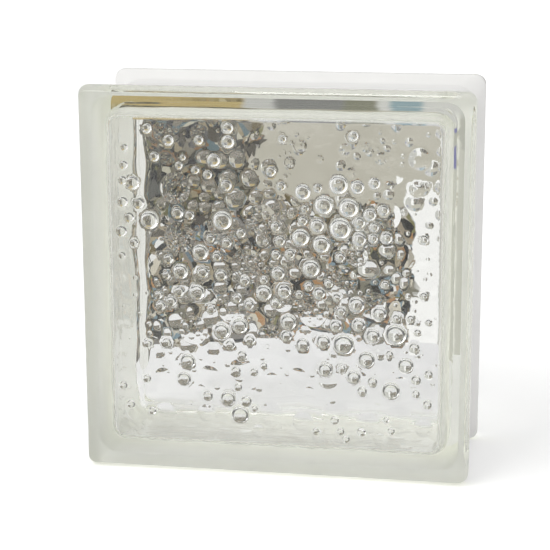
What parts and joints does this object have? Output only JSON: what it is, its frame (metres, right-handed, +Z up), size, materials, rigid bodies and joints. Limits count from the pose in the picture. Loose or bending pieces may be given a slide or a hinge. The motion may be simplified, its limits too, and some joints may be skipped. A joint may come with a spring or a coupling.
{
  "type": "glass block",
  "caption": "Square hollow glass building block with a bubble relief inside both panes and a white coated mortar channel round its edge.",
  "frame": {"origin": "middle of the underside, on the plane of the seam between the two halves", "axes": "+X across the front face, +Y from the front face to the rear face through the depth, +Z up"},
  "size_m": [0.19, 0.08, 0.19],
  "materials": {
    "glass": "clear pressed soda-lime glass, smooth outside, fire polished relief inside",
    "edge_coating": "matt white mortar-bond coating"
  },
  "bodies": {
    "root": {"front_half_shell": "glass", "rear_half_shell": "glass", "edge_coating": "edge_coating"}
  },
  "joints": []
}
